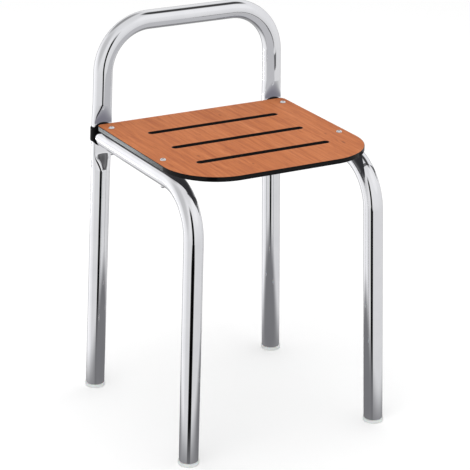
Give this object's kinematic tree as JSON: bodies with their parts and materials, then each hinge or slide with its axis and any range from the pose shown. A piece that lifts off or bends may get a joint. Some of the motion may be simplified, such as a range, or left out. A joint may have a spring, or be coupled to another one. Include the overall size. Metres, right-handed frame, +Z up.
{
  "type": "shower stool",
  "caption": "Low-backed shower stool: chrome-plated round tube frame with a looped back, a slotted wood-decor laminate seat panel and white foot glides.",
  "frame": {"origin": "on the floor, midway between the four feet, at the bottom centre of the whole stool", "axes": "+Z up, -Y towards the sitter's front, +X to the right as seen from the front"},
  "size_m": [0.3916, 0.3804, 0.6632],
  "materials": {
    "chrome_tube": "polished chrome plating",
    "seat_laminate": "satin wood-decor compact laminate with a black core",
    "black_spacer": "moulded black plastic",
    "stainless_fastener": "plain stainless steel",
    "white_glide": "moulded off-white plastic"
  },
  "bodies": {
    "root": {"rear_frame": "chrome_tube", "seat_panel": "seat_laminate", "front_leg_left": "chrome_tube", "rail_spacer_left": "black_spacer", "rail_insert_left": "stainless_fastener", "joint_bolt_left": "stainless_fastener", "foot_glide_front_left": "white_glide", "foot_glide_rear_left": "white_glide", "front_leg_right": "chrome_tube", "rail_spacer_right": "black_spacer", "rail_insert_right": "stainless_fastener", "joint_bolt_right": "stainless_fastener", "foot_glide_front_right": "white_glide", "foot_glide_rear_right": "white_glide", "seat_screw_front_left": "stainless_fastener", "dome_nut_front_left": "chrome_tube", "seat_screw_rear_left": "stainless_fastener", "dome_nut_rear_left": "chrome_tube", "seat_screw_front_right": "stainless_fastener", "dome_nut_front_right": "chrome_tube", "seat_screw_rear_right": "stainless_fastener", "dome_nut_rear_right": "chrome_tube"}
  },
  "joints": []
}
